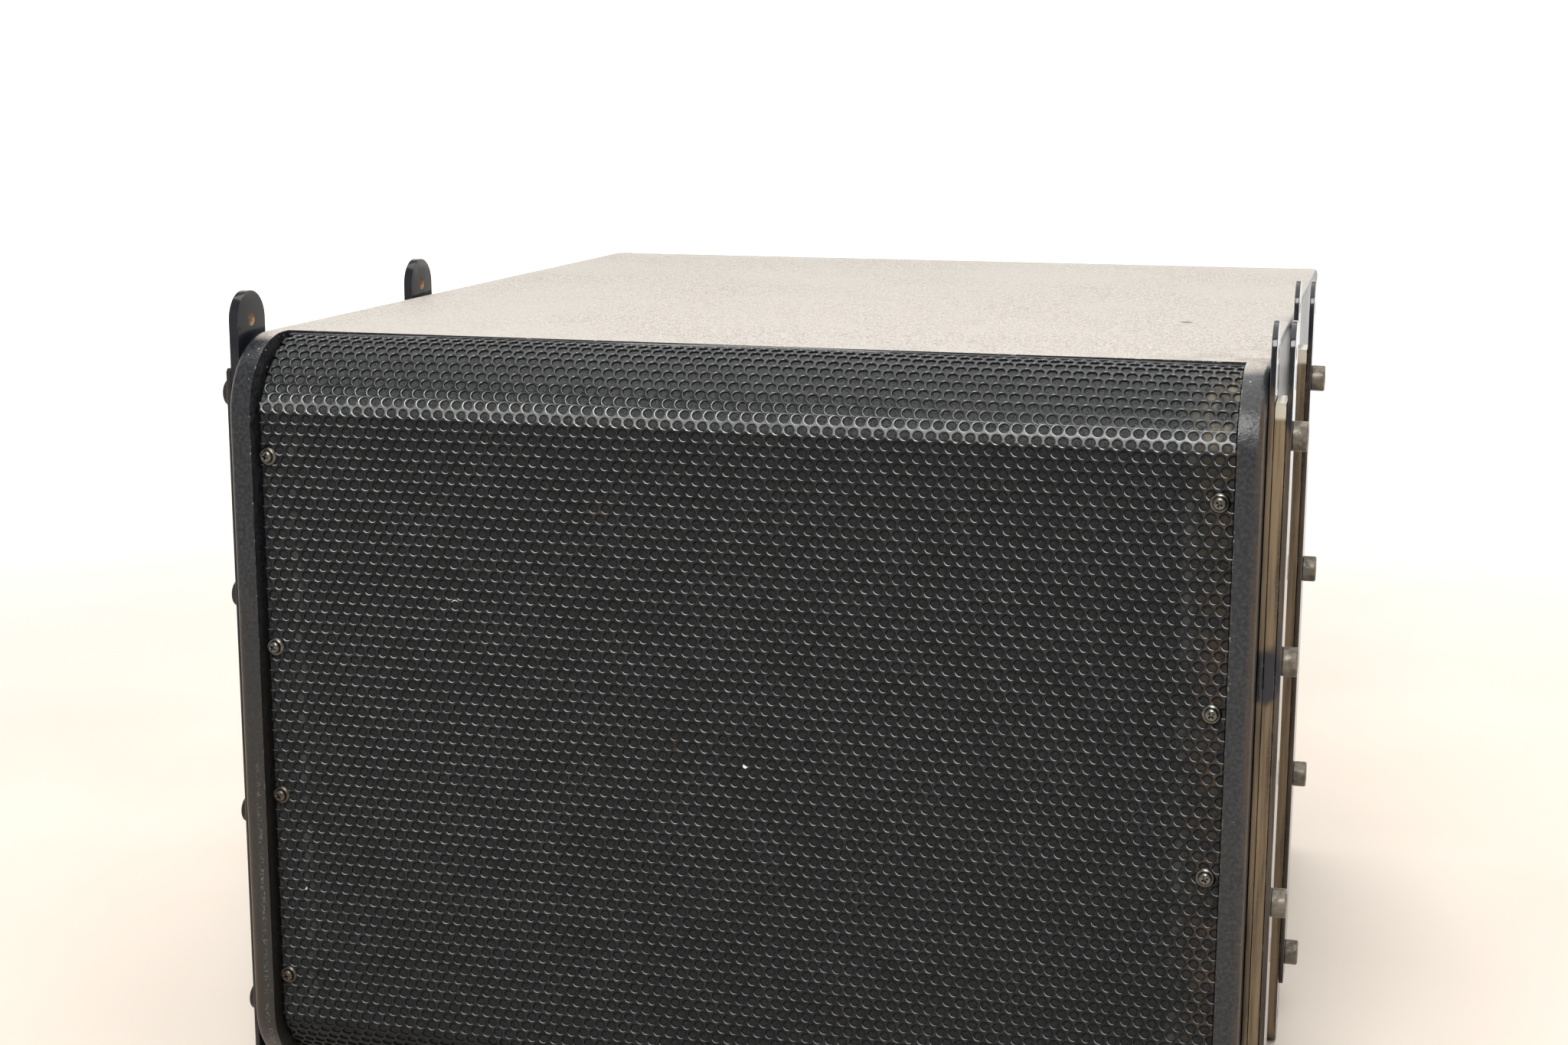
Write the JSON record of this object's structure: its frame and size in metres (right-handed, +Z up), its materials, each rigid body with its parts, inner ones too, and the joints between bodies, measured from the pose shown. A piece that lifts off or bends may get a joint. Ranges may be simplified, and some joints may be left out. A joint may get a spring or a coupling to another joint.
{
  "type": "line array speaker",
  "caption": "Black curved-grille line array loudspeaker cabinet in plywood, with bolted steel rigging straps on both sides.",
  "frame": {"origin": "under the middle of the assembly, level with the lower ends of the rigging straps", "axes": "+X to the side whose straps have their slots at the top, -Y out of the grille, +Y to the sockets, +Z up"},
  "size_m": [0.703, 0.767, 0.5624],
  "materials": {
    "cabinet_paint": "textured paint, worn and dusty",
    "bare_plywood": "bare",
    "strap_paint": "satin powder coat, worn",
    "bolt_steel": "dull, weathered",
    "grille_paint": "semi-gloss powder coat",
    "foam": "open-cell foam",
    "screw_steel": "plated, lightly rusted",
    "basket_casting": "black painted casting",
    "magnet_ferrite": "matte",
    "plated_steel": "zinc plated",
    "cone_paper": "pressed paper",
    "surround_cloth": "doped cloth",
    "spider_cloth": "resin-treated cloth",
    "coil_copper": "wound wire",
    "gasket_rubber": "matte",
    "socket_plastic": "moulded"
  },
  "bodies": {
    "root": {"left_side_panel": "cabinet_paint", "right_side_panel": "cabinet_paint", "top_panel": "cabinet_paint", "bottom_panel": "cabinet_paint", "back_panel": "cabinet_paint", "baffle": "cabinet_paint", "left_port_wall": "bare_plywood", "right_port_wall": "bare_plywood", "vertical_brace": "bare_plywood", "left_grille_batten": "bare_plywood", "right_grille_batten": "bare_plywood", "grille_foam": "foam", "damping_foam": "foam", "grille": "grille_paint", "grille_screw_1": "screw_steel", "grille_screw_2": "screw_steel", "grille_screw_3": "screw_steel", "grille_screw_4": "screw_steel", "grille_screw_5": "screw_steel", "grille_screw_6": "screw_steel", "grille_screw_7": "screw_steel", "grille_screw_8": "screw_steel", "left_front_strap_inner_plate": "strap_paint", "left_front_strap_middle_bar": "strap_paint", "left_front_strap_outer_plate": "strap_paint", "left_front_bolt_set": "bolt_steel", "left_rear_strap_inner_plate": "strap_paint", "left_rear_strap_middle_bar": "strap_paint", "left_rear_strap_outer_plate": "strap_paint", "left_rear_bolt_set": "bolt_steel", "right_front_strap_inner_plate": "strap_paint", "right_front_strap_middle_bar": "strap_paint", "right_front_strap_outer_plate": "strap_paint", "right_front_bolt_set": "bolt_steel", "right_rear_strap_inner_plate": "strap_paint", "right_rear_strap_middle_bar": "strap_paint", "right_rear_strap_outer_plate": "strap_paint", "right_rear_bolt_set": "bolt_steel", "woofer_basket": "basket_casting", "woofer_gasket": "gasket_rubber", "woofer_surround": "surround_cloth", "woofer_spider": "spider_cloth", "woofer_top_plate": "plated_steel", "woofer_back_plate": "plated_steel", "woofer_magnet": "magnet_ferrite", "input_plate": "strap_paint", "input_socket_1": "socket_plastic", "input_socket_2": "socket_plastic", "left_handle": "strap_paint", "right_handle": "strap_paint"},
    "cone": {"woofer_cone": "cone_paper", "woofer_dust_cap": "cone_paper", "woofer_voice_coil": "coil_copper"},
    "front_locking_pin": {"front_pin": "plated_steel"},
    "rear_locking_pin": {"rear_pin": "plated_steel"}
  },
  "joints": [
    {"name": "cone_travel", "type": "slide", "parent": "root", "child": "cone", "axis": [0, -1, 0], "range_m": [-0.009, 0.009], "stiffness_N_per_m": 6000},
    {"name": "front_pin_pull", "type": "slide", "parent": "root", "child": "front_locking_pin", "axis": [-1, 0, 0], "range_m": [0, 0.03]},
    {"name": "rear_pin_pull", "type": "slide", "parent": "root", "child": "rear_locking_pin", "axis": [-1, 0, 0], "range_m": [0, 0.03]}
  ]
}
